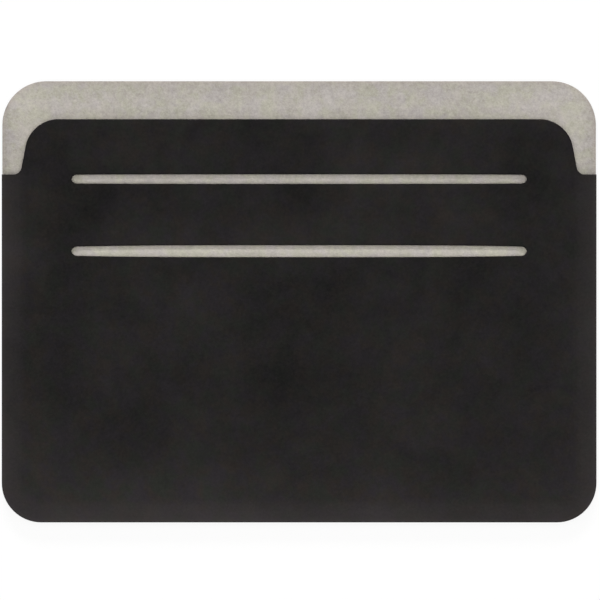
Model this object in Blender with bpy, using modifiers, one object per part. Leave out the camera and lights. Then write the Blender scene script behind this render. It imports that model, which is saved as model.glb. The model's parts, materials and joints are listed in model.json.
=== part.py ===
"""A flat shielded card sleeve, made of thin sheets bonded round three edges.

It lies on its back. The origin is the middle of the back face, +X runs across the
sleeve, +Y points to its open top edge and +Z points out of its front face. Metres.
"""

import math

import bmesh
import bpy
from mathutils import Matrix, Vector

# Outline of the sleeve, seen from the front
SLEEVE_WIDTH = 0.115
SLEEVE_HEIGHT = 0.0854
SLEEVE_CORNER_RADIUS = 0.00765

# The standard card that the slots and pockets are cut for
CARD_WIDTH = 0.0856
CARD_HEIGHT = 0.05398
CARD_THICKNESS = 0.00076

# Free lip of the front panel, measured down from the back's top edge
SHOULDER_DROP = 0.0181
LIP_DROP = 0.00735
SHOULDER_WIDTH = 0.00335
LIP_LEAN = math.radians(12.2)
LIP_CORNER_RADIUS = 0.0061
FLEX_GAP = 0.0003

# Slots: the upper one runs along the foot of the lip, the lower one is centred below it
SLOT_SIDE_PLAY = 0.0012
UPPER_SLOT_HEIGHT = 0.0018
LOWER_SLOT_HEIGHT = 0.0021
LOWER_SLOT_DROP = 0.0148

# Bonded seam and what is set back from its edges
SEAM_WIDTH = 0.004
SHIELD_MARGIN = 0.002
SHEET_SETBACK = 0.0013
HEM_INSET = 0.001
HEM_FILM_INSET = 0.0016
HEM_FILM_HEIGHT = 0.005
STOP_HEIGHT = 0.003
STOP_SIDE_GAP = 0.004
CARD_SHOWS_ABOVE_SLOT = 0.0115

# Sheet stock, and the glue line between two sheets that are bonded
SKIN_THICKNESS = 0.0008
SHIELD_THICKNESS = 0.0001
BACK_LINING_THICKNESS = 0.0004
FRONT_LINING_THICKNESS = 0.0003
POCKET_SHEET_THICKNESS = 0.0003
SEAM_FILM_THICKNESS = 0.0002
GLUE_LINE = 0.00005
POCKET_PLAY = 0.00014
EDGE_ROUNDING = 0.0003

# Fineness of the model
CORNER_STEPS = 8
ROUNDING_STEPS = 2
SHARP_ANGLE = math.radians(30)
FLAT_ANGLE = math.radians(1)
WELD_DISTANCE = 0.000001

# Places worked out from the sizes above
HALF_WIDTH = SLEEVE_WIDTH / 2
TOP = SLEEVE_HEIGHT / 2
BOTTOM = -TOP
SHOULDER = TOP - SHOULDER_DROP
LIP_TOP = TOP - LIP_DROP
LIP_BOTTOM = SHOULDER + FLEX_GAP / 2
PANEL_TOP = SHOULDER - FLEX_GAP / 2
SLOT_WIDTH = CARD_WIDTH + 2 * SLOT_SIDE_PLAY
UPPER_SLOT_BOTTOM = SHOULDER - UPPER_SLOT_HEIGHT
LOWER_SLOT_CENTRE = SHOULDER - LOWER_SLOT_DROP
LOWER_SLOT_TOP = LOWER_SLOT_CENTRE + LOWER_SLOT_HEIGHT / 2
SHEET_TOP = UPPER_SLOT_BOTTOM - SHEET_SETBACK
SEAM_INNER_RADIUS = SLEEVE_CORNER_RADIUS - SEAM_WIDTH
SHIELD_CORNER_RADIUS = SLEEVE_CORNER_RADIUS - SHIELD_MARGIN
WELT_THICKNESS = CARD_THICKNESS + POCKET_PLAY - 2 * GLUE_LINE

# Layers of the body from the back face forwards
BODY_LAYERS = (
    ("back_skin", SKIN_THICKNESS),
    ("back_shield", SHIELD_THICKNESS),
    ("back_lining", BACK_LINING_THICKNESS),
    ("seam_welt", WELT_THICKNESS),
    ("upper_pocket_sheet", POCKET_SHEET_THICKNESS),
    ("middle_seam_film", SEAM_FILM_THICKNESS),
    ("lower_pocket_sheet", POCKET_SHEET_THICKNESS),
    ("front_seam_film", SEAM_FILM_THICKNESS),
    ("front_lining", FRONT_LINING_THICKNESS),
    ("front_shield", SHIELD_THICKNESS),
    ("front_skin", SKIN_THICKNESS),
)

# Layers of the lip, from the top edge of the upper pocket sheet forwards
LIP_LAYERS = (
    ("lip_pocket_hem", POCKET_SHEET_THICKNESS),
    ("lip_hem_film", SEAM_FILM_THICKNESS),
    ("lip_lining", FRONT_LINING_THICKNESS),
    ("lip_shield", SHIELD_THICKNESS),
    ("lip_skin", SKIN_THICKNESS),
)
BASE = {}
THICKNESS = {}


def stack(layers, height):
    """Place each layer a glue line above the last."""
    for name, thickness in layers:
        BASE[name] = height
        THICKNESS[name] = thickness
        height += thickness + GLUE_LINE


def clear_scene():
    for old in list(bpy.data.objects):
        bpy.data.objects.remove(old, do_unlink=True)


def new_material(name, colour, roughness, metallic=0.0):
    material = bpy.data.materials.new(name)
    material.use_nodes = True
    shader = material.node_tree.nodes["Principled BSDF"]
    shader.inputs["Base Color"].default_value = (*colour, 1.0)
    shader.inputs["Roughness"].default_value = roughness
    shader.inputs["Metallic"].default_value = metallic
    material.diffuse_color = (*colour, 1.0)
    return material


def corner_arc(before, corner, after, radius):
    """Points of the arc that rounds a corner, or the corner alone where it is sharp."""
    if radius == 0:
        return [corner]
    back = (before - corner).normalized()
    ahead = (after - corner).normalized()
    half_angle = back.angle(ahead) / 2
    centre = corner + (back + ahead).normalized() * radius / math.sin(half_angle)
    start = corner + back * radius / math.tan(half_angle) - centre
    turn = math.copysign(math.pi - 2 * half_angle, ahead.cross(back))
    steps = range(CORNER_STEPS + 1)
    return [centre + Matrix.Rotation(turn * i / CORNER_STEPS, 2) @ start for i in steps]


def rounded(corners):
    """A closed outline through corners, each given as x, y and the radius that rounds it."""
    points = [Vector((x, y)) for x, y, _ in corners]
    outline = []
    for i, (_, _, radius) in enumerate(corners):
        after = points[(i + 1) % len(points)]
        outline += corner_arc(points[i - 1], points[i], after, radius)
    return outline


def both_sides(right_corners):
    """The corners of the right half, from the bottom up, and their mirror images."""
    left_corners = [(-x, y, radius) for x, y, radius in reversed(right_corners)]
    return right_corners + left_corners


def back_outline(inset, radius):
    side = HALF_WIDTH - inset
    return rounded(both_sides([(side, BOTTOM + inset, radius), (side, TOP - inset, radius)]))


def panel_outline(top, inset=0, radius=SLEEVE_CORNER_RADIUS):
    """The sleeve's outline below a straight top edge."""
    side = HALF_WIDTH - inset
    return rounded(both_sides([(side, BOTTOM + inset, radius), (side, top, 0)]))


def notched_outline():
    """The front panel below the shoulders, with the upper slot open to its top edge."""
    slot_side = SLOT_WIDTH / 2
    end_radius = UPPER_SLOT_HEIGHT / 2
    right = [
        (HALF_WIDTH, BOTTOM, SLEEVE_CORNER_RADIUS),
        (HALF_WIDTH, PANEL_TOP, 0),
        (slot_side, PANEL_TOP, 0),
        (slot_side, UPPER_SLOT_BOTTOM, end_radius),
    ]
    return rounded(both_sides(right))


def seam_outline(top):
    """The U of the bonded seam, along both sides and the bottom edge."""
    inner_side = HALF_WIDTH - SEAM_WIDTH
    right = [
        (HALF_WIDTH, BOTTOM, SLEEVE_CORNER_RADIUS),
        (HALF_WIDTH, top, 0),
        (inner_side, top, 0),
        (inner_side, BOTTOM + SEAM_WIDTH, SEAM_INNER_RADIUS),
    ]
    return rounded(both_sides(right))


def slot_outline(margin=0):
    """The lower slot, with round ends, or a window that clears it by a margin."""
    radius = LOWER_SLOT_HEIGHT / 2 + margin
    end_centre = SLOT_WIDTH / 2 - LOWER_SLOT_HEIGHT / 2
    right = []
    for i in range(CORNER_STEPS * 2 + 1):
        angle = math.pi * i / (CORNER_STEPS * 2) - math.pi / 2
        x = end_centre + radius * math.cos(angle)
        right.append((x, LOWER_SLOT_CENTRE + radius * math.sin(angle), 0))
    return rounded(both_sides(right))


def lip_outline(inset, bottom):
    """The lip's leaning sides and round corners, or a strip that follows them at an inset."""
    top = LIP_TOP - inset
    radius = LIP_CORNER_RADIUS - inset
    root = HALF_WIDTH - SHOULDER_WIDTH - inset / math.cos(LIP_LEAN)
    lean = math.tan(LIP_LEAN)
    bottom_corner = (root - (bottom - SHOULDER) * lean, bottom, 0)
    top_corner = (root - (top - SHOULDER) * lean, top, radius)
    return rounded(both_sides([bottom_corner, top_corner]))


def strip_outline(half_width, bottom, height):
    top = bottom + height
    return rounded(both_sides([(half_width, bottom, 0), (half_width, top, 0)]))


def sheet(name, outlines, base, thickness, material):
    """A flat sheet cut to its outlines: the first is its edge, any other is a hole."""
    curve = bpy.data.curves.new(name + "_outline", "CURVE")
    curve.dimensions = "2D"
    curve.fill_mode = "BOTH"
    curve.extrude = thickness / 2
    for outline in outlines:
        spline = curve.splines.new("POLY")
        spline.points.add(len(outline) - 1)
        for point, place in zip(spline.points, outline):
            point.co = (place.x, place.y, 0, 1)
        spline.use_cyclic_u = True
    drawn = bpy.data.objects.new(name + "_outline", curve)
    drawn.location.z = base + thickness / 2
    sleeve.objects.link(drawn)
    graph = bpy.context.evaluated_depsgraph_get()
    mesh = bpy.data.meshes.new_from_object(drawn.evaluated_get(graph))
    mesh.name = name
    welded = bmesh.new()
    welded.from_mesh(mesh)
    bmesh.ops.remove_doubles(welded, verts=welded.verts, dist=WELD_DISTANCE)
    bmesh.ops.recalc_face_normals(welded, faces=welded.faces)
    bmesh.ops.dissolve_limit(
        welded, angle_limit=FLAT_ANGLE, verts=welded.verts, edges=welded.edges
    )
    welded.to_mesh(mesh)
    welded.free()
    piece = bpy.data.objects.new(name, mesh)
    piece.matrix_world = drawn.matrix_world
    bpy.data.objects.remove(drawn, do_unlink=True)
    sleeve.objects.link(piece)
    mesh.materials.clear()
    mesh.materials.append(material)
    return piece


def layer_sheet(name, outlines, material):
    return sheet(name, outlines, BASE[name], THICKNESS[name], material)


def round_rim(piece, side):
    """Round the edges of a skin's outer face: side is 1 for the front face, -1 for the back."""
    rim = bmesh.new()
    rim.from_mesh(piece.data)
    weight = rim.edges.layers.float.new("bevel_weight_edge")
    outer_face = max(vertex.co.z * side for vertex in rim.verts)
    for edge in rim.edges:
        lowest = min(vertex.co.z * side for vertex in edge.verts)
        if lowest > outer_face - WELD_DISTANCE and edge.calc_face_angle() > SHARP_ANGLE:
            edge[weight] = 1
    rim.to_mesh(piece.data)
    rim.free()
    rounding = piece.modifiers.new("rounded_rim", "BEVEL")
    rounding.width = EDGE_ROUNDING
    rounding.segments = ROUNDING_STEPS
    rounding.limit_method = "WEIGHT"
    rounding.use_clamp_overlap = False
    rounding.loop_slide = False


clear_scene()
stack(BODY_LAYERS, 0)
stack(LIP_LAYERS, BASE["upper_pocket_sheet"])
sleeve = bpy.data.collections.new("card_sleeve")
bpy.context.scene.collection.children.link(sleeve)

# Black soft-touch coated sheet, pale suede-like lining, foil and bonding film
skin_material = new_material("black_coated_sheet", (0.017, 0.0165, 0.016), 0.62)
lining_material = new_material("warm_grey_suede", (0.445, 0.418, 0.376), 0.95)
shield_material = new_material("shielding_foil", (0.78, 0.78, 0.79), 0.35, 1.0)
film_material = new_material("bonding_film", (0.60, 0.59, 0.55), 0.45)
welt_material = new_material("seam_filler", (0.05, 0.048, 0.045), 0.85)

# Back panel: skin, foil and the lining that shows above the lip
back_edge = back_outline(0, SLEEVE_CORNER_RADIUS)
round_rim(layer_sheet("back_skin", [back_edge], skin_material), -1)
shield_edge = back_outline(SHIELD_MARGIN, SHIELD_CORNER_RADIUS)
layer_sheet("back_shield", [shield_edge], shield_material)
layer_sheet("back_lining", [back_edge], lining_material)

# Filler that holds the top pocket open by a card's thickness
layer_sheet("seam_welt", [seam_outline(PANEL_TOP)], welt_material)

# Upper pocket sheet, which shows through the upper slot
layer_sheet("upper_pocket_sheet", [panel_outline(PANEL_TOP)], lining_material)

# Between the pocket sheets: the seam film, and the strip that a card stands on
layer_sheet("middle_seam_film", [seam_outline(SHEET_TOP)], film_material)
stop_half_width = HALF_WIDTH - SEAM_WIDTH - STOP_SIDE_GAP
stop_top = UPPER_SLOT_BOTTOM - CARD_HEIGHT + CARD_SHOWS_ABOVE_SLOT
sheet(
    "upper_pocket_stop",
    [strip_outline(stop_half_width, stop_top - STOP_HEIGHT, STOP_HEIGHT)],
    BASE["middle_seam_film"],
    SEAM_FILM_THICKNESS,
    film_material,
)

# Lower pocket sheet, its seam film, and the strip that bonds its top edge above the slot
layer_sheet("lower_pocket_sheet", [panel_outline(SHEET_TOP)], lining_material)
layer_sheet("front_seam_film", [seam_outline(PANEL_TOP)], film_material)
sheet(
    "lower_hem_film",
    [strip_outline(SLOT_WIDTH / 2, LOWER_SLOT_TOP + HEM_INSET, HEM_FILM_HEIGHT)],
    BASE["front_seam_film"],
    SEAM_FILM_THICKNESS,
    film_material,
)

# Front panel: lining, foil that stops short of both slots, and the black skin
front_edge = notched_outline()
layer_sheet("front_lining", [front_edge, slot_outline()], lining_material)
foil_edge = panel_outline(SHEET_TOP, SHIELD_MARGIN, SHIELD_CORNER_RADIUS)
layer_sheet("front_shield", [foil_edge, slot_outline(SHIELD_MARGIN)], shield_material)
round_rim(layer_sheet("front_skin", [front_edge, slot_outline()], skin_material), 1)

# Lip: the front panel goes on above the line where it flexes, a little lower than below it
# because the lower pocket sheet isn't behind it
hinge_line = bpy.data.objects.new("lip_hinge_line", None)
hinge_line.location = (0, SHOULDER, BASE["lip_skin"] + SKIN_THICKNESS)
hinge_line.empty_display_size = LIP_TOP - SHOULDER
sleeve.objects.link(hinge_line)
lip_edge = lip_outline(0, LIP_BOTTOM)
hem_edge = lip_outline(HEM_INSET, LIP_BOTTOM)
hem_film_edge = lip_outline(HEM_FILM_INSET, LIP_BOTTOM + HEM_FILM_INSET)
foil_edge = lip_outline(SHIELD_MARGIN, LIP_BOTTOM + SHIELD_MARGIN)
lip_pieces = (
    layer_sheet("lip_pocket_hem", [hem_edge], lining_material),
    layer_sheet("lip_hem_film", [hem_film_edge], film_material),
    layer_sheet("lip_lining", [lip_edge], lining_material),
    layer_sheet("lip_shield", [foil_edge], shield_material),
    layer_sheet("lip_skin", [lip_edge], skin_material),
)
round_rim(lip_pieces[-1], 1)
for piece in lip_pieces:
    piece.parent = hinge_line
    piece.location -= hinge_line.location
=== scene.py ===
"""A shielded card sleeve of black coated sheet and grey suede cloth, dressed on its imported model.

It lies on its back: +X runs across it, +Y to its open top edge, +Z out of its front. Metres.
"""

import json
import math

import bmesh
import bpy
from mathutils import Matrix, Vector, noise


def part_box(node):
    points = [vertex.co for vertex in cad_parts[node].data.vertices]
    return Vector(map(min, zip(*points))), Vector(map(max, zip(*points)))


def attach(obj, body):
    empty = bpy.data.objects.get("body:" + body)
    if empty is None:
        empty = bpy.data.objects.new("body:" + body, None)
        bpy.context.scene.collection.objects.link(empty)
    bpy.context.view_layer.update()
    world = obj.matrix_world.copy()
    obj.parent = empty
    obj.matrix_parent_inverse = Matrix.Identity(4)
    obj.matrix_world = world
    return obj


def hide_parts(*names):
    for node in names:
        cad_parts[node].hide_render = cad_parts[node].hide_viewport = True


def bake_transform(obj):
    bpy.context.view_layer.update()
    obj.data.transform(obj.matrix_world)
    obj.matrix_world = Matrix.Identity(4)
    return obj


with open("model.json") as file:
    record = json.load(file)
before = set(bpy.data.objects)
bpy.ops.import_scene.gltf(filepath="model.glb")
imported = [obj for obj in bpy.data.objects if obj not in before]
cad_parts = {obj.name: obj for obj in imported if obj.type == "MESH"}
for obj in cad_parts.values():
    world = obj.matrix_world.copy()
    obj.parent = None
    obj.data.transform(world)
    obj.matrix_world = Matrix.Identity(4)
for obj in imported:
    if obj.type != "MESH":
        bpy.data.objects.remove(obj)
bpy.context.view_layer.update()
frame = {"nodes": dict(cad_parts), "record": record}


# Back skin
# One sheet of black soft-touch coated leather board, die-cut to the sleeve's outline. The
# die rounds its outer rim, and the press that bonds the seam leaves a shallow band along it.
MM = 0.001
TOUCHING = 0.001 * MM  # Points nearer to each other than this are one
SHARP = math.radians(35)  # Edges that turn further than this stay sharp
BACK_LOW, BACK_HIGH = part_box("back_skin")
HALF_WIDTH, HALF_HEIGHT = BACK_HIGH.x, BACK_HIGH.y
CORNER_RADIUS, TOP_CORNER_RADIUS = 7.65 * MM, 8.5 * MM
CORNER_SEGMENTS = 16
RIM_ROUNDING, RIM_SEGMENTS = 0.34 * MM, 4
SEAM_WIDTH, SEAM_STEP = 4.0 * MM, 1.5 * MM
BACK_SEAM_DEPTH = 0.07 * MM
# Where the sheets are cut for the press: inwards from an edge, then evenly across the rest.
SEAM_CUTS = [d * MM for d in (0.5, 1, 1.5, 2, 2.5, 2.9, 3.2, 3.5, 3.8, 4.1, 4.4, 4.7, 5, 5.4, 6)]
OPEN_CUT = 2.5 * MM
# The coat's colours, the last for the seam band's painted highlight, and where a painted
# highlight makes it paler: towards its foot and above each slot.
COAT_BROWN, COAT_GREEN = (0.0127, 0.0103, 0.0090, 1), (0.0099, 0.0107, 0.0088, 1)
COAT_VIOLET, COAT_SEAM_SHEEN = (0.0114, 0.0097, 0.0116, 1), (0.0117, 0.0101, 0.0102, 1)
COAT_OFFSET = 1.555  # Brings the mean of the cloudy patterns, 2.25, down to the coat's tone
PORE_SIZE = 0.42 * MM
FOOT_LOW, FOOT_HIGH = -43 * MM, -12 * MM
UPPER_MOUTH, UPPER_MOUTH_REACH = 24.6 * MM, 10 * MM
LOWER_MOUTH, LOWER_MOUTH_REACH = 10.9 * MM, 11 * MM
MOUTH_FADE = 1.6 * MM
MOUTH_INNER, MOUTH_OUTER = 36 * MM, 46 * MM


def start_sheet(name, low, high):
    """A plane with these corners, left in edit mode to be cut to shape."""
    bpy.ops.object.select_all(action="DESELECT")
    bpy.ops.mesh.primitive_plane_add(size=1)
    piece = bpy.context.object
    piece.name = piece.data.name = name
    bpy.ops.object.mode_set(mode="EDIT")
    size = (high[0] - low[0], high[1] - low[1], 1)
    bpy.ops.transform.resize(value=size, center_override=(0, 0, 0))
    middle = ((high[0] + low[0]) / 2, (high[1] + low[1]) / 2, 0)
    bpy.ops.transform.translate(value=middle)
    return piece


def pick(piece, wanted, kind="VERT"):
    """Select the vertices or the edges that are wanted, and nothing else."""
    bpy.ops.mesh.select_mode(type=kind)
    bpy.ops.mesh.select_all(action="DESELECT")
    shape = bmesh.from_edit_mesh(piece.data)
    for element in shape.edges if kind == "EDGE" else shape.verts:
        if wanted(element):
            element.select_set(True)
    shape.select_flush_mode()
    bmesh.update_edit_mesh(piece.data)


def round_corners(piece, places, radius, half_angle=math.pi / 4):
    """Round the outline's corners at these places, whose sides meet at twice half_angle."""
    pick(piece, lambda v: any((v.co.xy - Vector(place)).length < TOUCHING for place in places))
    bpy.ops.mesh.bevel(
        offset=radius / math.tan(half_angle),
        segments=CORNER_SEGMENTS,
        affect="VERTICES",
        clamp_overlap=False,
    )


def round_back(piece):
    """Round the two lower and the two upper corners of the back's outline."""
    for y, radius in ((-HALF_HEIGHT, CORNER_RADIUS), (HALF_HEIGHT, TOP_CORNER_RADIUS)):
        round_corners(piece, [(-HALF_WIDTH, y), (HALF_WIDTH, y)], radius)


def give_thickness(piece, low, high):
    """Extrude the flat outline from one height to the other, and leave it a closed body."""
    bpy.ops.mesh.select_all(action="SELECT")
    bpy.ops.transform.translate(value=(0, 0, low))
    bpy.ops.mesh.extrude_region_move(TRANSFORM_OT_translate={"value": (0, 0, high - low)})
    bpy.ops.mesh.select_all(action="SELECT")
    bpy.ops.mesh.normals_make_consistent(inside=False)


def round_rim(piece, height, rounding, segments=RIM_SEGMENTS):
    """Round the sharp edges that lie at this height."""

    def on_rim(edge):
        level = all(abs(v.co.z - height) < TOUCHING for v in edge.verts)
        return level and edge.calc_face_angle(0) > SHARP

    pick(piece, on_rim, "EDGE")
    bpy.ops.mesh.bevel(
        offset=rounding, segments=segments, clamp_overlap=False, loop_slide=False
    )


def even_cuts(start, end, step):
    """Places of cuts between start and end, about a step apart."""
    count = max(1, round((end - start) / step))
    return [start + (end - start) * i / count for i in range(1, count)]


def panel_cuts(half):
    """Places of cuts from edge to edge of a panel, close together along both seams."""
    along_seams = [side * (half - d) for d in SEAM_CUTS for side in (-1, 1)]
    return along_seams + even_cuts(SEAM_CUTS[-1] - half, half - SEAM_CUTS[-1], OPEN_CUT)


def slice_sheet(piece, across, along):
    """Cut the sheet at these x and y, so that it can be pressed and bent, and merge doubles."""
    bpy.ops.mesh.select_mode(type="FACE")
    for places, normal in ((across, Vector((1, 0, 0))), (along, Vector((0, 1, 0)))):
        for place in places:
            bpy.ops.mesh.select_all(action="SELECT")
            bpy.ops.mesh.bisect(
                plane_co=normal * place, plane_no=normal, threshold=TOUCHING / 10
            )
    bpy.ops.mesh.select_all(action="SELECT")
    bpy.ops.mesh.remove_doubles(threshold=TOUCHING)


def ease(value):
    """From 0 to 1 with a soft start and end."""
    value = min(max(value, 0), 1)
    return value * value * (3 - 2 * value)


def inside_outline(x, y, open_top=False):
    """How far a point lies inside the rounded outline. An open top has no edge there."""
    radius = TOP_CORNER_RADIUS if y > 0 else CORNER_RADIUS
    side = abs(x) - HALF_WIDTH + radius
    end = (-y if open_top else abs(y)) - HALF_HEIGHT + radius
    return radius - math.hypot(max(side, 0), max(end, 0)) - min(max(side, end), 0)


def in_seam(depth):
    """1 in the band that the press leaves along the edge, to 0 further inside."""
    return 1 - ease((depth - SEAM_WIDTH + SEAM_STEP / 2) / SEAM_STEP)


def share_up(z, low, high):
    """How high z lies between two corners of a box, from 0 to 1."""
    return (z - low.z) / (high.z - low.z)


def press(piece, lift):
    """Back in object mode, raise each vertex by lift(x, y, z)."""
    bpy.ops.object.mode_set(mode="OBJECT")
    for vertex in piece.data.vertices:
        vertex.co.z += lift(*vertex.co)


def mark_rim(piece, face, rounding):
    """Store how far down the rounded rim of a flat face each vertex lies, from 0 to 1."""
    bpy.ops.object.mode_set(mode="OBJECT")
    rim = piece.data.attributes.new("rim", "FLOAT", "POINT")
    for vertex, mark in zip(piece.data.vertices, rim.data):
        mark.value = min(abs(vertex.co.z - face) / rounding, 1)


def finish_sheet(piece, material, nodes, body=None):
    """Smooth a sheet, give it its finish and put it in its CAD nodes' place, on its body."""
    piece.data.materials.append(material)
    bpy.ops.object.shade_smooth_by_angle(angle=SHARP)
    piece.modifiers.new("even_shading", "WEIGHTED_NORMAL").keep_sharp = True
    bpy.ops.object.modifier_apply(modifier="even_shading")
    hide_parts(*nodes)
    if body:
        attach(piece, body)


class Signal:
    """A socket of a finish's nodes. Python's operators on it add Math nodes."""

    def __init__(self, tree, socket=None):
        self.tree = tree
        self.socket = socket

    def add(self, kind, sockets, output=0, **settings):
        """Add a node: its settings first, then the values or links of its sockets."""
        node = self.tree.nodes.new(kind)
        for name, value in settings.items():
            setattr(node, name, value)
        for name, value in sockets.items():
            if isinstance(value, Signal):
                self.tree.links.new(value.socket, node.inputs[name])
            else:
                node.inputs[name].default_value = value
        return Signal(self.tree, node.outputs[output] if len(node.outputs) else None)

    def maths(self, operation, *values):
        """A Math node that does this operation on these values."""
        return self.add("ShaderNodeMath", dict(enumerate(values)), operation=operation)

    def __add__(self, other):
        return self.maths("ADD", self, other)

    def __sub__(self, other):
        return self.maths("SUBTRACT", self, other)

    def __rsub__(self, other):
        return self.maths("SUBTRACT", other, self)

    def __mul__(self, other):
        return self.maths("MULTIPLY", self, other)

    __radd__, __rmul__ = __add__, __mul__

    def __gt__(self, other):
        return self.maths("GREATER_THAN", self, other)

    def __abs__(self):
        return self.maths("ABSOLUTE", self)

    def root(self):
        """Its square root."""
        return self.maths("SQRT", self)

    def at_least(self, other):
        """The greater of the two."""
        return self.maths("MAXIMUM", self, other)

    def at_most(self, other):
        """The lesser of the two."""
        return self.maths("MINIMUM", self, other)

    def eased(self, start, end):
        """From 0 at start to 1 at end, with a soft start and end."""
        sockets = {"Value": self, "From Min": start, "From Max": end}
        return self.add("ShaderNodeMapRange", sockets, interpolation_type="SMOOTHSTEP")

    def mixed(self, first, second):
        """From the first colour to the second, as this goes from 0 to 1."""
        sockets = {0: self, 6: first, 7: second}
        return self.add("ShaderNodeMix", sockets, output=2, data_type="RGBA")

    def tinted(self, strength):
        """This colour times a value."""
        whole = self.add("ShaderNodeCombineXYZ", {0: strength, 1: strength, 2: strength})
        return self.add("ShaderNodeVectorMath", {0: self, 1: whole}, operation="MULTIPLY")

    def axis(self, name):
        """The X, Y or Z of these coordinates."""
        return self.add("ShaderNodeSeparateXYZ", {0: self}, output=name)

    def turned(self, angle, stretch=(1, 1, 1)):
        """These coordinates turned about Z, then stretched."""
        sockets = {"Vector": self, "Rotation": (0, 0, angle)}
        turned = self.add("ShaderNodeMapping", sockets)
        return self.add("ShaderNodeMapping", {"Vector": turned, "Scale": stretch})

    def patches(self, size, detail=2.0, roughness=0.5, distortion=0.0):
        """Noise about 0.5 over these coordinates, with patches of about this size."""
        sockets = {
            "Vector": self,
            "Scale": 1 / size,
            "Detail": detail,
            "Roughness": roughness,
            "Distortion": distortion,
        }
        return self.add("ShaderNodeTexNoise", sockets)

    def relief(self, depth, strength=1.0, under=None):
        """A bumped normal that is depth high where this is 1, over another if one is given."""
        sockets = {"Height": self, "Distance": depth, "Strength": strength}
        if under:
            sockets["Normal"] = under
        return self.add("ShaderNodeBump", sockets)


def start_finish(name):
    """A material with nothing in it yet, and its object coordinates."""
    material = bpy.data.materials.new(name)
    material.use_nodes = True
    material.node_tree.nodes.clear()
    place = Signal(material.node_tree).add("ShaderNodeTexCoord", {}, output="Object")
    return material, place


def close_finish(place, **sockets):
    """Add the surface shader with these sockets, and link it to the output."""
    named = {name.replace("_", " "): value for name, value in sockets.items()}
    named["Specular IOR Level"] = named.pop("Specular", 0.5)
    shader = place.add("ShaderNodeBsdfPrincipled", named)
    place.add("ShaderNodeOutputMaterial", {"Surface": shader})


def depth_in(place):
    """How far a point lies inside the sleeve's rounded outline, as inside_outline does."""
    x, y = place.axis("X"), place.axis("Y")
    radius = CORNER_RADIUS + (y > 0) * (TOP_CORNER_RADIUS - CORNER_RADIUS)
    side = abs(x) + radius - HALF_WIDTH
    end = abs(y) + radius - HALF_HEIGHT
    beyond_side, beyond_end = side.at_least(0), end.at_least(0)
    beyond = (beyond_side * beyond_side + beyond_end * beyond_end).root()
    return radius - beyond - side.at_least(end).at_most(0)


def highlight_above_slot(x, y, mouth, reach):
    """1 at a slot's upper edge, to 0 at this reach above it: painted highlight where the skin bends
    down towards the slot.
    """
    above = y.eased(mouth + reach, mouth) * y.eased(mouth - MOUTH_FADE, mouth)
    return above * abs(x).eased(MOUTH_OUTER, MOUTH_INNER)


def black_coat():
    """Soft-touch coating: cloudy, matt and finely grained, with a paler cut edge and painted
    highlight along its rim, its seam band, its foot and above each slot.
    """
    material, place = start_finish("black_soft_touch_coat")
    x, y, z = place.axis("X"), place.axis("Y"), place.axis("Z")
    depth = depth_in(place)
    broad_clouds = place.turned(1.8).patches(30 * MM, detail=1.5, distortion=0.3)
    clouds = place.patches(8 * MM, detail=3, roughness=0.55, distortion=0.4)
    small_clouds = place.patches(2.4 * MM, detail=3, roughness=0.6, distortion=0.2)
    specks = place.patches(0.5 * MM, detail=3, roughness=0.75)

    ragged = depth + (small_clouds - 0.5) * (1.6 * MM)
    # Painted highlight along the rim and a few millimetres in from it.
    edge = 1 - (depth + (specks - 0.5) * (0.4 * MM)).eased(0, 1.1 * MM)
    near_rim_highlight = 1 - ragged.eased(0.2 * MM, 3.0 * MM)
    # Painted highlight over the pressed seam band and beside it.
    seam = 1 - ragged.eased(2.6 * MM, 5.2 * MM)
    beside_seam_highlight = 1 - depth.eased(4 * MM, 12.5 * MM)
    # Painted highlight, lighter towards the foot and above each slot.
    foot_highlight = 1 - y.eased(FOOT_LOW, FOOT_HIGH)
    in_front = z > 2 * BACK_HIGH.z
    upper_slot_highlight = highlight_above_slot(x, y, UPPER_MOUTH, UPPER_MOUTH_REACH) * in_front
    lower_slot_highlight = highlight_above_slot(x, y, LOWER_MOUTH, LOWER_MOUTH_REACH) * in_front
    rim = place.add("ShaderNodeAttribute", {}, output="Fac", attribute_name="rim")
    # The cut edge's own paler core, and painted highlight on the rounded rim.
    cut_edge_and_rim_highlight = (rim + (specks - 0.5) * 0.3).eased(0.02, 0.75)
    fibres = place.turned(0, (0.5, 0.5, 3)).patches(
        0.3 * MM, detail=4, roughness=0.7, distortion=0.3
    )
    cut_fibres = (fibres - 0.5) * rim.eased(0.92, 1.0)
    tone = broad_clouds * 1.4 + clouds * 1.1 + small_clouds * 0.7 + specks * 1.3 - COAT_OFFSET
    tone = tone + edge * 0.45 + near_rim_highlight * 0.38 + seam * 0.32 + beside_seam_highlight * 0.26 + foot_highlight * 0.44
    tone = tone + upper_slot_highlight * 0.12 + lower_slot_highlight * 0.38 + cut_edge_and_rim_highlight * 1.6 + cut_fibres * 3.2

    green = place.turned(0.4).patches(4 * MM, detail=4, roughness=0.65, distortion=0.3)
    violet = place.turned(0.8).patches(3.5 * MM, detail=4, roughness=0.65, distortion=0.3)
    tint = green.eased(0.36, 0.64).mixed(COAT_BROWN, COAT_GREEN)
    tint = (violet.eased(0.42, 0.64) * 0.85).mixed(tint, COAT_VIOLET)
    # The seam band's painted highlight is a little violet.
    tint = (seam * 0.6).mixed(tint, COAT_SEAM_SHEEN)

    grain = place.patches(0.16 * MM, detail=3, roughness=0.65)
    pore_sockets = {"Vector": place, "Scale": 1 / PORE_SIZE}
    pores = place.add("ShaderNodeTexVoronoi", pore_sockets, feature="SMOOTH_F1")
    waves = place.patches(5 * MM).relief(0.05 * MM, strength=0.6)
    close_finish(
        place,
        Base_Color=tint.tinted(tone),
        Roughness=0.5 + small_clouds * 0.16 + grain * 0.08 - seam * 0.05,
        Specular=0.06,
        Normal=(grain * 0.6 + pores * 0.5 + cut_fibres * 2.5).relief(
            0.03 * MM, strength=0.8, under=waves
        ),
    )
    return material


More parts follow.
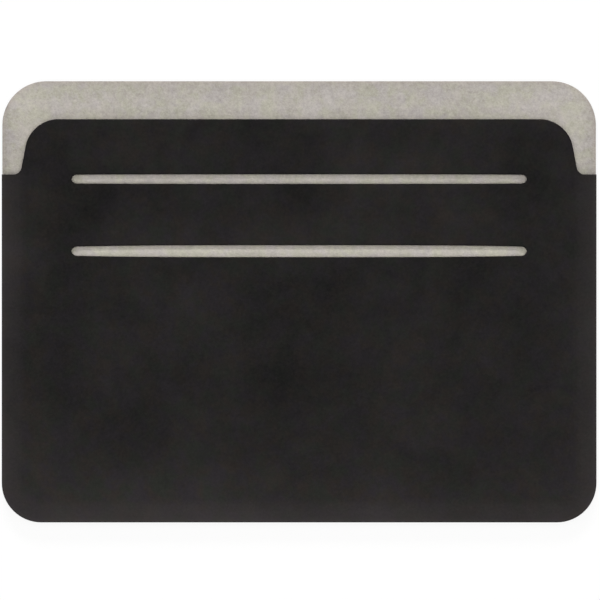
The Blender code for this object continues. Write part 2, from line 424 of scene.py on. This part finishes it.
coat = black_coat()
panel_cuts_x, panel_cuts_y = panel_cuts(HALF_WIDTH), panel_cuts(HALF_HEIGHT)
back_skin = start_sheet("back_panel_skin", BACK_LOW, BACK_HIGH)
round_back(back_skin)
give_thickness(back_skin, BACK_LOW.z, BACK_HIGH.z)
round_rim(back_skin, BACK_LOW.z, RIM_ROUNDING)
slice_sheet(back_skin, panel_cuts_x, panel_cuts_y)


def press_back(x, y, z):
    """The press pushes the outer face in along the seam, and leaves the inner one flat."""
    on_face = 1 - share_up(z, BACK_LOW, BACK_HIGH)
    return BACK_SEAM_DEPTH * in_seam(inside_outline(x, y)) * on_face


mark_rim(back_skin, BACK_LOW.z, RIM_ROUNDING)
press(back_skin, press_back)
finish_sheet(back_skin, coat, ["back_skin"], body="body")


# Shielding foil
# Soft rolled aluminium foil, glued behind both panels and the lip, and set back from every
# edge so that none of it shows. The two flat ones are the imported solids.
FOIL_COLOUR, FOIL_SHADE = (0.80, 0.80, 0.81, 1), (0.70, 0.70, 0.72, 1)


def foil_finish():
    """Bright metal with fine rolling streaks and soft creases."""
    material, place = start_finish("rolled_shielding_foil")
    rolled = place.turned(0, (0.06, 1, 1)).patches(0.3 * MM, roughness=0.6)
    creases = place.patches(6 * MM, detail=4, roughness=0.6, distortion=0.8)
    close_finish(
        place,
        Base_Color=(0.82 + rolled * 0.3).at_most(1).mixed(FOIL_SHADE, FOIL_COLOUR),
        Roughness=0.22 + rolled * 0.2 + creases * 0.08,
        Metallic=1.0,
        Normal=(creases + rolled * 0.1).relief(0.08 * MM, strength=0.8),
    )
    return material


foil = foil_finish()
for name in ("back_shield", "front_shield"):
    frame["nodes"][name].material_slots[0].material = foil


# Back lining
# Warm grey suede-like cloth bonded over the whole inner face of the back. Above and beside
# the lip it is all that shows. Its cut rim is soft, and glued down beyond the foil.
LINING_LOW, LINING_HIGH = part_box("back_lining")
LINING_ROUNDING = 0.2 * MM
RIM_GLUE_DROP = 0.17 * MM
FOIL_MARGIN = 2.0 * MM
GLUED_RIM = 0.9 * FOIL_MARGIN
NAP_WAVE, NAP_WAVE_SIZE = 0.05 * MM, 7 * MM
# Cloth colours; the last, pinker and darker, is painted shade along the cut rim.
CLOTH_GREY, CLOTH_OLIVE = (0.446, 0.414, 0.376, 1), (0.440, 0.422, 0.354, 1)
CLOTH_LILAC, CLOTH_RIM_SHADE = (0.452, 0.418, 0.406, 1), (0.436, 0.388, 0.350, 1)
PATTERN_MEAN = 1.005  # About what the cloth's patterns add on average
FIBRE_ANGLES = (0.5, -0.7, 1.9)
LIP_LOW, LIP_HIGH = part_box("lip_skin")
LIP_SHADE_RISE, LIP_SHADE_TOP, LIP_SHADE_END = 0.8 * MM, 0.9 * MM, 2.6 * MM
LIP_SHADE_INNER, LIP_SHADE_OUTER = 46 * MM, 51 * MM
SIDE_SHADE = 3.2 * MM


def suede(name, lightness):
    """Napped cloth: olive and lilac patches under short fibres that lie all ways, with painted
    shade: pinkish along its rim, and darker towards its edges, its sides and the lip's top edge.
    """
    material, place = start_finish(name)
    x, y = place.axis("X"), place.axis("Y")
    depth = depth_in(place)
    # Painted shade, darker and pinker along the cut rim.
    rim = 1 - depth.eased(0.1 * MM, 1.2 * MM)
    # Painted shade, darker within a few millimetres of the outline.
    painted_edge_shade = 1 - depth.eased(0.3 * MM, 4.5 * MM)
    # Painted shade, darker along the sides.
    painted_side_shade = abs(x).eased(HALF_WIDTH - SIDE_SHADE, HALF_WIDTH)
    # Painted shadow of the lip's top edge on the cloth just above it.
    painted_lip_shadow = y.eased(LIP_HIGH.y + LIP_SHADE_END, LIP_HIGH.y + LIP_SHADE_TOP)
    painted_lip_shadow = painted_lip_shadow * y.eased(LIP_HIGH.y, LIP_HIGH.y + LIP_SHADE_RISE)
    painted_lip_shadow = painted_lip_shadow * abs(x).eased(LIP_SHADE_OUTER, LIP_SHADE_INNER)

    olive = place.patches(2.6 * MM, detail=3, roughness=0.6, distortion=0.4)
    lilac = place.turned(1.0).patches(3.4 * MM, detail=3, roughness=0.6, distortion=0.5)
    tint = olive.eased(0.38, 0.62).mixed(CLOTH_GREY, CLOTH_OLIVE)
    tint = (lilac.eased(0.42, 0.66) * 0.75).mixed(tint, CLOTH_LILAC)
    tint = (rim * 0.6).mixed(tint, CLOTH_RIM_SHADE)

    leaning = [
        place.turned(angle, (1, 0.2, 1)).patches(
            0.2 * MM, detail=3, roughness=0.65, distortion=0.8
        )
        for angle in FIBRE_ANGLES
    ]
    fibres = (leaning[0] + leaning[1] + leaning[2]) * (1 / 3)
    speckle = place.patches(0.42 * MM, detail=4, roughness=0.75, distortion=0.3)
    nap = place.patches(1.2 * MM, detail=3, roughness=0.6, distortion=0.3)
    shade = place.patches(4.5 * MM, distortion=0.4)
    broad_shade = place.patches(24 * MM, detail=1.5)
    swirl = place.turned(0.3, (1, 1.7, 1)).patches(
        1.5 * MM, detail=3, roughness=0.6, distortion=1.2
    )
    strands = 1 - abs(swirl - 0.5).eased(0, 0.05)
    tone = fibres * 0.55 + speckle * 0.6 + nap * 0.42 + strands * 0.05
    tone = tone + shade * 0.2 + broad_shade * 0.16 - painted_edge_shade * 0.07 - painted_side_shade * 0.08
    tone = tone - painted_lip_shadow * 0.07 + (lightness - PATTERN_MEAN)
    close_finish(
        place,
        Base_Color=tint.tinted(tone),
        Roughness=0.9 + speckle * 0.08,
        Specular=0.15,
        Sheen_Weight=0.12,
        Sheen_Roughness=0.5,
        Normal=(fibres * 0.7 + speckle * 0.5 + strands * 0.15).relief(
            0.05 * MM, strength=0.8, under=nap.relief(0.12 * MM, strength=0.5)
        ),
    )
    return material


def corners_cut_off(radius, half_angle=math.pi / 4):
    """The area that two corners of an outline lose when they are rounded."""
    return 2 * (1 / math.tan(half_angle) - math.pi / 2 + half_angle) * radius**2


def wave(x, y, height, size):
    """The slight unevenness of a glued sheet."""
    return height * noise.noise(Vector((x / size, y / size, 0)))


def glue_drop(depth):
    """How far the underside of a rim sinks where it is glued down beyond the foil."""
    return RIM_GLUE_DROP * (1 - ease(depth / GLUED_RIM))


cloth = suede("warm_grey_suede_cloth", 0.98)
back_lining = start_sheet("back_panel_lining", LINING_LOW, LINING_HIGH)
round_back(back_lining)
give_thickness(back_lining, LINING_LOW.z, LINING_HIGH.z)
round_rim(back_lining, LINING_HIGH.z, LINING_ROUNDING)
slice_sheet(back_lining, panel_cuts_x, panel_cuts_y)


def glue_back_lining(x, y, z):
    """Its face is a little uneven, and its underside reaches down at the rim."""
    on_top = share_up(z, LINING_LOW, LINING_HIGH)
    uneven = wave(x, y, NAP_WAVE, NAP_WAVE_SIZE) - NAP_WAVE / 2
    return on_top * uneven - (1 - on_top) * glue_drop(inside_outline(x, y))


press(back_lining, glue_back_lining)
finish_sheet(back_lining, cloth, ["back_lining"], body="body")
(4 * HALF_WIDTH * HALF_HEIGHT
    - corners_cut_off(CORNER_RADIUS)
    - corners_cut_off(TOP_CORNER_RADIUS))


# Seam welt
# A U of black fibreboard in the glued edge, as thick as a card. It keeps the top pocket
# open, and shows only as a dark layer in the sleeve's sides.
BOARD_DARK, BOARD_PALE = (0.020, 0.019, 0.018, 1), (0.036, 0.033, 0.030, 1)


def fibreboard():
    """Pressed pulp in thin layers, dyed black."""
    material, place = start_finish("black_fibreboard")
    pulp = place.turned(0, (1, 1, 6)).patches(
        0.22 * MM, detail=4, roughness=0.7, distortion=0.5
    )
    layers = place.turned(0, (0.1, 0.1, 1)).patches(0.11 * MM)
    tint = pulp.eased(0.35, 0.65).mixed(BOARD_DARK, BOARD_PALE)
    close_finish(
        place,
        Base_Color=tint.tinted(0.7 + layers * 0.6),
        Roughness=0.82 + pulp * 0.12,
        Specular=0.2,
        Normal=(pulp + layers * 0.6).relief(0.03 * MM, strength=0.8),
    )
    return material


frame["nodes"]["seam_welt"].material_slots[0].material = fibreboard()


# Bonding film
# Milky hot-melt film that bonds the cloth sheets to each other along the seam and the hems,
# and the strip that a card in the upper slot stands on. It shows only as a line in the sides.
FILM_DARK, FILM_PALE = (0.37, 0.355, 0.315, 1), (0.46, 0.445, 0.40, 1)


def hot_melt():
    """Melted web that has flowed and set, milky and half gloss."""
    material, place = start_finish("milky_bonding_film")
    flow = place.patches(1.1 * MM, detail=3, roughness=0.6, distortion=1.2)
    web = place.patches(0.2 * MM, roughness=0.6, distortion=0.4)
    tint = flow.eased(0.35, 0.65).mixed(FILM_DARK, FILM_PALE)
    close_finish(
        place,
        Base_Color=tint.tinted(0.85 + web * 0.3),
        Roughness=0.34 + flow * 0.22,
        Normal=(flow * 0.7 + web * 0.3).relief(0.04 * MM, strength=0.7),
    )
    return material


film = hot_melt()
for name in ("middle_seam_film", "front_seam_film", "upper_pocket_stop", "lower_hem_film"):
    frame["nodes"][name].material_slots[0].material = film


# Upper pocket sheet
# A thin sheet of the same cloth. It closes the top pocket in front, and its upper edge turns
# up across the upper slot to the back of the lip, where it is bonded.
SHEET_LOW, SHEET_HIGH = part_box("upper_pocket_sheet")
SHEET_EDGE_ROUNDING, SHEET_EDGE_SEGMENTS = 0.08 * MM, 2
SHOULDER = frame["record"]["behaviour"]["joints"][0]["pos_m"][1]  # The line the lip bends on
PANEL_TOP_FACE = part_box("front_skin")[1].z
LIP_DROP, LIP_FALL_MARGIN = PANEL_TOP_FACE - LIP_HIGH.z, 1.4 * MM
LIP_TRIM, LIP_TOP_TRIM = 0.21 * MM, 0.06 * MM
LIP_LEAN = math.tan(math.radians(10.6))
LIP_HALF_ANGLE = (math.pi / 2 + math.atan(LIP_LEAN)) / 2
LIP_CORNER_RADIUS, LIP_ROOT_RADIUS = 6.3 * MM, 1.5 * MM
PANEL_INSET, HEM_INSET = 0.05 * MM, 1.0 * MM
SLOT_HALF_WIDTH = 44.0 * MM
UPPER_SLOT_Y = SHOULDER - 0.91 * MM
UPPER_SLOT_HALF, UPPER_SLOT_SWELL = 0.84 * MM, 0.08 * MM
CLIMB_START, CLIMB_LENGTH = SHOULDER - 3.2 * MM, 2.6 * MM
SWELL_INSET = 3 * MM
UPPER_SWELL, UPPER_SWELL_REACH, UPPER_SWELL_FADE = 0.34 * MM, 1.8 * MM, 3.5 * MM
SHOULDER_CUTS = [
    SHOULDER + d * MM for d in (-3.4, -2.9, -2.4, -1.4, -0.9, -0.4, 0.4, 0.8, 1.3, 1.8)
]
LIP_CUT = 1.2 * MM


def lip_side(y, inset=0.0):
    """Half the lip's width at this height, before its corners are rounded."""
    return LIP_HIGH.x - LIP_TRIM - inset - (y - LIP_LOW.y) * LIP_LEAN


def lip_edge(inset):
    """The height of the lip's top edge."""
    return LIP_HIGH.y - LIP_TOP_TRIM - inset


def start_lipped_sheet(name, inset, lip_inset):
    """The front panel's outline with its lip, left in edit mode as one flat face."""
    side, top = HALF_WIDTH - inset, lip_edge(lip_inset)
    root, tip = lip_side(SHOULDER, lip_inset), lip_side(top, lip_inset)
    piece = start_sheet(name, (-side, inset - HALF_HEIGHT), (side, SHOULDER))
    for x in (-root, root):
        bpy.ops.mesh.select_all(action="SELECT")
        bpy.ops.mesh.bisect(plane_co=(x, 0, 0), plane_no=(1, 0, 0), threshold=TOUCHING / 10)

    def below_lip(edge):
        middle = (edge.verts[0].co + edge.verts[1].co) / 2
        return middle.y > SHOULDER - TOUCHING and abs(middle.x) < TOUCHING

    pick(piece, below_lip, "EDGE")
    bpy.ops.mesh.extrude_region_move(TRANSFORM_OT_translate={"value": (0, top - SHOULDER, 0)})
    bpy.ops.transform.resize(value=(tip / root, 1, 1), center_override=(0, 0, 0))
    bpy.ops.mesh.select_mode(type="FACE")
    bpy.ops.mesh.select_all(action="SELECT")
    bpy.ops.mesh.dissolve_faces()
    bottom = inset - HALF_HEIGHT
    pick(piece, lambda v: v.co.y < bottom + TOUCHING and abs(v.co.x) < side - TOUCHING)
    bpy.ops.mesh.dissolve_verts()
    round_corners(piece, [(-side, bottom), (side, bottom)], CORNER_RADIUS - inset)
    lip_radius = LIP_CORNER_RADIUS - lip_inset
    round_corners(piece, [(-tip, top), (tip, top)], lip_radius, LIP_HALF_ANGLE)
    roots = [(-root, SHOULDER), (root, SHOULDER)]
    round_corners(piece, roots, LIP_ROOT_RADIUS, LIP_HALF_ANGLE)
    return piece


def lipped_area(inset, lip_inset):
    """The area that such a sheet is cut to."""
    top = lip_edge(lip_inset)
    panel = 2 * (HALF_WIDTH - inset) * (SHOULDER + HALF_HEIGHT - inset)
    lip = (lip_side(SHOULDER, lip_inset) + lip_side(top, lip_inset)) * (top - SHOULDER)
    rounded = corners_cut_off(CORNER_RADIUS - inset)
    rounded += corners_cut_off(LIP_CORNER_RADIUS - lip_inset, LIP_HALF_ANGLE)
    rounded -= corners_cut_off(LIP_ROOT_RADIUS, LIP_HALF_ANGLE)
    return panel + lip - rounded


def lip_fall(y):
    """How far the front sinks towards the back from the shoulders to the lip's top edge."""
    return LIP_DROP * ease((y - SHOULDER) / (LIP_HIGH.y - SHOULDER - LIP_FALL_MARGIN))


def swell_into_slot(x, y, middle, height, reach, fade):
    """How far a sheet swells into a slot, most along its middle and nothing past its ends."""
    across = 1 - ease((abs(x) - SLOT_HALF_WIDTH + SWELL_INSET) / fade)
    return height * across * (1 - ease(abs(y - middle) / reach))


lip_cuts_y = even_cuts(SHOULDER_CUTS[-1], LIP_HIGH.y, LIP_CUT) + SHOULDER_CUTS
front_cuts_y = [d - HALF_HEIGHT for d in SEAM_CUTS] + even_cuts(
    SEAM_CUTS[-1] - HALF_HEIGHT, SHOULDER_CUTS[0], OPEN_CUT
)
# A lighter copy of the cloth: painted light against the shade inside the slots, where it shows.
pocket_cloth_painted_lighter = suede("paler_pocket_suede_cloth", 1.13)
pocket_sheet = start_lipped_sheet("upper_pocket_cloth", PANEL_INSET, HEM_INSET)
give_thickness(pocket_sheet, SHEET_LOW.z, SHEET_HIGH.z)
round_rim(pocket_sheet, SHEET_HIGH.z, SHEET_EDGE_ROUNDING, SHEET_EDGE_SEGMENTS)
slice_sheet(pocket_sheet, panel_cuts_x, front_cuts_y + lip_cuts_y)


def turn_up(x, y, z):
    """Under the lower sheet it lies flat, then it climbs to the lip and swells in the slot."""
    climb = ease((y - CLIMB_START) / CLIMB_LENGTH)
    swell = swell_into_slot(
        x, y, UPPER_SLOT_Y, UPPER_SWELL, UPPER_SWELL_REACH, UPPER_SWELL_FADE
    )
    return (LIP_DROP - lip_fall(y)) * climb + swell


press(pocket_sheet, turn_up)
finish_sheet(pocket_sheet, pocket_cloth_painted_lighter, ["upper_pocket_sheet", "lip_pocket_hem"])
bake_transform(pocket_sheet)
lipped_area(PANEL_INSET, HEM_INSET)


# Lower pocket sheet
# The same cloth again, in front of the first. It ends behind the panel just below the upper
# slot, and swells a little into the lower slot, where it is what shows.
LOWER_LOW, LOWER_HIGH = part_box("lower_pocket_sheet")
LOWER_HALF_WIDTH, LOWER_BOTTOM = HALF_WIDTH - PANEL_INSET, PANEL_INSET - HALF_HEIGHT
LOWER_CORNER_RADIUS = CORNER_RADIUS - PANEL_INSET
LOWER_SIZE = (2 * LOWER_HALF_WIDTH, LOWER_HIGH.y - LOWER_BOTTOM)
LOWER_SLOT_Y = 9.75 * MM
LOWER_SLOT_HALF, LOWER_SLOT_SWELL = 0.86 * MM, 0.29 * MM
LOWER_SWELL_Y = LOWER_SLOT_Y + 0.1 * MM
LOWER_SWELL, LOWER_SWELL_REACH, LOWER_SWELL_FADE = 0.52 * MM, 2.0 * MM, 4 * MM
SLOT_CUTS = [LOWER_SLOT_Y + d * MM for d in (-2.2, -1.7, -1.3, -0.6, 0, 0.6, 1.3, 1.7, 2.2)]

lower_sheet = start_sheet(
    "lower_pocket_cloth", (-LOWER_HALF_WIDTH, LOWER_BOTTOM), (LOWER_HALF_WIDTH, LOWER_HIGH.y)
)
lower_corners = [(side * LOWER_HALF_WIDTH, LOWER_BOTTOM) for side in (-1, 1)]
round_corners(lower_sheet, lower_corners, LOWER_CORNER_RADIUS)
give_thickness(lower_sheet, LOWER_LOW.z, LOWER_HIGH.z)
round_rim(lower_sheet, LOWER_HIGH.z, SHEET_EDGE_ROUNDING, SHEET_EDGE_SEGMENTS)
slice_sheet(lower_sheet, panel_cuts_x, front_cuts_y + SLOT_CUTS)


def swell_lower(x, y, z):
    """It lies flat but for the swell in the lower slot."""
    return swell_into_slot(
        x, y, LOWER_SWELL_Y, LOWER_SWELL, LOWER_SWELL_REACH, LOWER_SWELL_FADE
    )


press(lower_sheet, swell_lower)
finish_sheet(lower_sheet, pocket_cloth_painted_lighter, ["lower_pocket_sheet"], body="body")
LOWER_SIZE[0] * LOWER_SIZE[1] - corners_cut_off(LOWER_CORNER_RADIUS)


# Front lining
# Thin suede cloth behind the foil of the front panel and its lip, in one piece. It is what a
# card in a slot slides against, and it is cut a little wider than the skin round both slots.
FRONT_LOW, FRONT_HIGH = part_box("front_lining")
LINING_SLOT_MARGIN, LINING_LIP_INSET = 0.12 * MM, 0.1 * MM
SLOT_END = 1.15 * MM
SLOT_SEGMENTS = 34
SLOT_BOW_POWER = 4
PUNCH_CUT = 4 * MM
PUNCH_BOTTOM, PUNCH_TOP = -1 * MM, 10 * MM


def punch_slot(piece, y, half_height, swell, margin):
    """Cut a slot with a punch that has round ends and slightly bowed sides."""
    bpy.ops.object.mode_set(mode="OBJECT")
    bpy.ops.object.select_all(action="DESELECT")
    bpy.ops.mesh.primitive_circle_add(
        vertices=SLOT_SEGMENTS, radius=half_height + margin, fill_type="NGON"
    )
    punch = bpy.context.object
    bpy.ops.object.mode_set(mode="EDIT")
    bpy.ops.transform.rotate(
        value=math.pi / SLOT_SEGMENTS, orient_axis="Z", center_override=(0, 0, 0)
    )
    long_end = (SLOT_END / half_height, 1, 1)
    bpy.ops.transform.resize(value=long_end, center_override=(0, 0, 0))
    for side in (-1, 1):
        pick(punch, lambda v: v.co.x * side > 0 and abs(v.co.x) < SLOT_HALF_WIDTH / 2)
        bpy.ops.transform.translate(value=(side * (SLOT_HALF_WIDTH + margin - SLOT_END), 0, 0))
    slice_sheet(punch, even_cuts(-SLOT_HALF_WIDTH, SLOT_HALF_WIDTH, PUNCH_CUT), [])
    bpy.ops.mesh.select_all(action="SELECT")
    bpy.ops.mesh.extrude_region_move(TRANSFORM_OT_translate={"value": (0, 0, 1)})
    bpy.ops.mesh.select_all(action="SELECT")
    bpy.ops.mesh.normals_make_consistent(inside=False)
    bpy.ops.object.mode_set(mode="OBJECT")
    for vertex in punch.data.vertices:
        along = abs(vertex.co.x / SLOT_HALF_WIDTH)
        bow = 1 + swell / half_height * (1 - along**SLOT_BOW_POWER)
        height = PUNCH_TOP if vertex.co.z else PUNCH_BOTTOM
        vertex.co = (vertex.co.x, y + vertex.co.y * bow, height)
    bpy.ops.object.select_all(action="DESELECT")
    piece.select_set(True)
    bpy.context.view_layer.objects.active = piece
    cut = piece.modifiers.new("slot", "BOOLEAN")
    cut.object, cut.solver = punch, "EXACT"
    bpy.ops.object.modifier_apply(modifier="slot")
    bpy.data.meshes.remove(punch.data)
    bpy.ops.object.mode_set(mode="EDIT")


def punch_both_slots(piece, margin):
    """Cut the upper and the lower slot, this much wider all round."""
    punch_slot(piece, UPPER_SLOT_Y, UPPER_SLOT_HALF, UPPER_SLOT_SWELL, margin)
    punch_slot(piece, LOWER_SLOT_Y, LOWER_SLOT_HALF, LOWER_SLOT_SWELL, margin)


def slot_area(half_height, swell, margin):
    """The area of a slot that is cut this much wider all round."""
    mean_bow = 1 + swell / half_height * SLOT_BOW_POWER / (SLOT_BOW_POWER + 1)
    return 4 * (SLOT_HALF_WIDTH + margin) * (half_height + margin) * mean_bow


front_lining = start_lipped_sheet("front_panel_lining", PANEL_INSET, LINING_LIP_INSET)
give_thickness(front_lining, FRONT_LOW.z, FRONT_HIGH.z)
punch_both_slots(front_lining, LINING_SLOT_MARGIN)
round_rim(front_lining, FRONT_LOW.z, SHEET_EDGE_ROUNDING, SHEET_EDGE_SEGMENTS)
slice_sheet(front_lining, panel_cuts_x, front_cuts_y + lip_cuts_y + SLOT_CUTS)
press(front_lining, lambda x, y, z: -lip_fall(y))
finish_sheet(front_lining, cloth, ["front_lining", "lip_lining"])
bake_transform(front_lining)
(lipped_area(PANEL_INSET, LINING_LIP_INSET)
    - slot_area(UPPER_SLOT_HALF, UPPER_SLOT_SWELL, LINING_SLOT_MARGIN)
    - slot_area(LOWER_SLOT_HALF, LOWER_SLOT_SWELL, LINING_SLOT_MARGIN))


# Lip foil and hem film
# The foil in the lip lies between its skin and lining, and the film under them bonds the
# upper edge of the pocket sheet. Both follow the lip as it sinks towards the back.
HEM_TAPE_INSET = 1.6 * MM
STRIP_CUT = 4 * MM


def lip_strip(node, name, inset, material):
    """A strip in the shape of the lip, this far inside its edge."""
    low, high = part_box(node)
    # It starts a metre wide on either side, so that each end's scale is its half width.
    piece = start_sheet(name, (-1, low.y), (1, high.y))
    for y in (low.y, high.y):
        pick(piece, lambda v: abs(v.co.y - y) < TOUCHING)
        bpy.ops.transform.resize(value=(lip_side(y, inset), 1, 1), center_override=(0, 0, 0))
    tip = lip_side(high.y, inset)
    tips = [(-tip, high.y), (tip, high.y)]
    round_corners(piece, tips, LIP_CORNER_RADIUS - inset, LIP_HALF_ANGLE)
    give_thickness(piece, low.z, high.z)
    slice_sheet(piece, even_cuts(-tip, tip, STRIP_CUT), lip_cuts_y)
    press(piece, lambda x, y, z: LIP_DROP - lip_fall(y))
    finish_sheet(piece, material, [node], body="lip")


lip_strip("lip_shield", "lip_foil", FOIL_MARGIN, foil)
lip_strip("lip_hem_film", "lip_hem_tape", HEM_TAPE_INSET, film)


# Front skin
# One sheet of the black coated board for the whole front and its free lip, with both slots
# punched through it. Its rim is rounded and the press leaves a band along the bonded seam.
SKIN_LOW, SKIN_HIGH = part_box("front_skin")
FRONT_SEAM_DEPTH = 0.15 * MM
RIDGE_HEIGHT, RIDGE_PLACE, RIDGE_WIDTH = 0.03 * MM, 3.3 * MM, 0.5 * MM
GROOVE_DEPTH, GROOVE_PLACE, GROOVE_WIDTH = 0.03 * MM, 4.6 * MM, 0.5 * MM
EDGE_ROLL, EDGE_ROLL_WIDTH = 0.1 * MM, 1.6 * MM
CROWN, CROWN_REACH = 0.05 * MM, 22 * MM
SLOT_DIP, SLOT_DIP_REACH = 0.1 * MM, 2.4 * MM
SKIN_WAVE, SKIN_WAVE_SIZE = 0.03 * MM, 11 * MM

front_skin = start_lipped_sheet("front_panel_skin", 0, 0)
give_thickness(front_skin, SKIN_LOW.z, SKIN_HIGH.z)
punch_both_slots(front_skin, 0)
round_rim(front_skin, SKIN_HIGH.z, RIM_ROUNDING)
slice_sheet(front_skin, panel_cuts_x, front_cuts_y + lip_cuts_y + SLOT_CUTS)


def bump(value, width):
    """1 where the value is 0, fading to 0 on both sides of it."""
    return math.exp(-((value / width) ** 2))


def from_slot(x, y, slot_y, half_height):
    """How far a point lies outside a slot."""
    across = max(abs(x) - SLOT_HALF_WIDTH + half_height, 0)
    return max(math.hypot(across, y - slot_y) - half_height, 0)


def press_front(x, y, z):
    """The pressed seam, the crown and the dipped slots on top, the glued rim underneath."""
    on_top = share_up(z, SKIN_LOW, SKIN_HIGH)
    depth = inside_outline(x, y, open_top=True)
    top = -FRONT_SEAM_DEPTH * in_seam(depth)
    top += RIDGE_HEIGHT * bump(depth - RIDGE_PLACE, RIDGE_WIDTH)
    top -= GROOVE_DEPTH * bump(depth - GROOVE_PLACE, GROOVE_WIDTH)
    top -= EDGE_ROLL * (1 - ease(depth / EDGE_ROLL_WIDTH))
    top -= CROWN * (1 - ease((depth - SEAM_WIDTH) / CROWN_REACH))
    to_slot = min(
        from_slot(x, y, UPPER_SLOT_Y, UPPER_SLOT_HALF),
        from_slot(x, y, LOWER_SLOT_Y, LOWER_SLOT_HALF + LOWER_SLOT_SWELL / 2),
    )
    top -= SLOT_DIP * (1 - ease(to_slot / SLOT_DIP_REACH))
    top += wave(x, y, SKIN_WAVE, SKIN_WAVE_SIZE) - SKIN_WAVE
    return on_top * top - (1 - on_top) * glue_drop(depth) - lip_fall(y)


mark_rim(front_skin, SKIN_HIGH.z, RIM_ROUNDING)
press(front_skin, press_front)
finish_sheet(front_skin, coat, ["front_skin", "lip_skin"])
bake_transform(front_skin)


# Studio
# A pale floor that stays white to the camera and keeps the sleeve's soft shadow, a large
# soft box overhead, a smaller one beyond the top edge, and strips along the other sides.
WHITE = (1, 1, 1, 1)
FLOOR_COLOUR, FLOOR_SHADE = (0.97, 0.97, 0.965, 1), (0.95, 0.95, 0.945, 1)
FLOOR_SIZE = 8.0
FLOOR_GAP = 0.02 * MM
FLOOR_PATCHES = 20 * MM
FLOOR_GLOW = 0.88
WORLD_LIGHT = 0.18
CAMERA_HEIGHT = 1.5
CLIP_START, CLIP_END = 0.05, 20
SENSOR_WIDTH = 36.0
PICTURE_WIDTH = 116.15 * MM
PICTURE_CENTRE = (0.17 * MM, 0.31 * MM)


def seen_white(nodes):
    """1 for the rays that should see a white surround."""
    rays = [
        nodes.add("ShaderNodeLightPath", {}, output=ray)
        for ray in ("Is Camera Ray", "Is Glossy Ray", "Is Transmission Ray")
    ]
    return rays[0].at_least(rays[1]).at_least(rays[2])


bpy.ops.object.select_all(action="DESELECT")
bpy.ops.mesh.primitive_plane_add(size=FLOOR_SIZE, location=(0, 0, -FLOOR_GAP))
floor = bpy.context.object
floor.name = "studio_floor"
floor_material, floor_place = start_finish("pale_studio_floor")
paper = floor_place.patches(FLOOR_PATCHES).mixed(FLOOR_COLOUR, FLOOR_SHADE)
floor_diffuse = floor_place.add("ShaderNodeBsdfDiffuse", {"Color": paper})
floor_glow = floor_place.add("ShaderNodeEmission", {"Color": WHITE, "Strength": 1.0})
floor_mix = {0: seen_white(floor_place) * FLOOR_GLOW, 1: floor_diffuse, 2: floor_glow}
floor_surface = floor_place.add("ShaderNodeMixShader", floor_mix)
floor_place.add("ShaderNodeOutputMaterial", {"Surface": floor_surface})
floor.data.materials.append(floor_material)

world = bpy.data.worlds.new("white_studio")
bpy.context.scene.world = world
world.use_nodes = True
world.node_tree.nodes.clear()
surround = Signal(world.node_tree)
strength = WORLD_LIGHT + seen_white(surround) * (1 - WORLD_LIGHT)
backdrop = surround.add("ShaderNodeBackground", {"Color": WHITE, "Strength": strength})
surround.add("ShaderNodeOutputWorld", {"Surface": backdrop})


def soft_box(name, place, size, brightness):
    """A rectangular lamp of this width and length, turned to the sleeve."""
    bpy.ops.object.light_add(type="AREA", location=place)
    lamp = bpy.context.object
    lamp.name = name
    lamp.data.shape = "RECTANGLE"
    lamp.data.size, lamp.data.size_y = size
    lamp.data.energy = brightness * math.pi * size[0] * size[1]
    lamp.rotation_euler = Vector(place).to_track_quat("Z", "Y").to_euler()
    lamp.visible_camera = False


soft_box("overhead_soft_box", place=(0, 0, 2.4), size=(1.6, 1.6), brightness=4.3)
soft_box("top_edge_soft_box", place=(0, 1.5, 1.5), size=(0.9, 0.6), brightness=12.0)
soft_box("left_strip", place=(-1.5, 0, 0.7), size=(0.3, 1.2), brightness=2.0)
soft_box("right_strip", place=(1.5, 0, 0.7), size=(0.3, 1.2), brightness=2.0)
soft_box("front_strip", place=(0, -1.5, 0.7), size=(1.2, 0.3), brightness=2.0)

bpy.ops.object.camera_add(location=(*PICTURE_CENTRE, CAMERA_HEIGHT), rotation=(0, 0, 0))
camera = bpy.context.object
camera.name = "photo_camera"
camera.data.sensor_width = SENSOR_WIDTH
camera.data.lens = SENSOR_WIDTH * (CAMERA_HEIGHT - PANEL_TOP_FACE / 2) / PICTURE_WIDTH
camera.data.clip_start, camera.data.clip_end = CLIP_START, CLIP_END
bpy.context.scene.camera = camera
bpy.context.scene.view_settings.view_transform = "Standard"
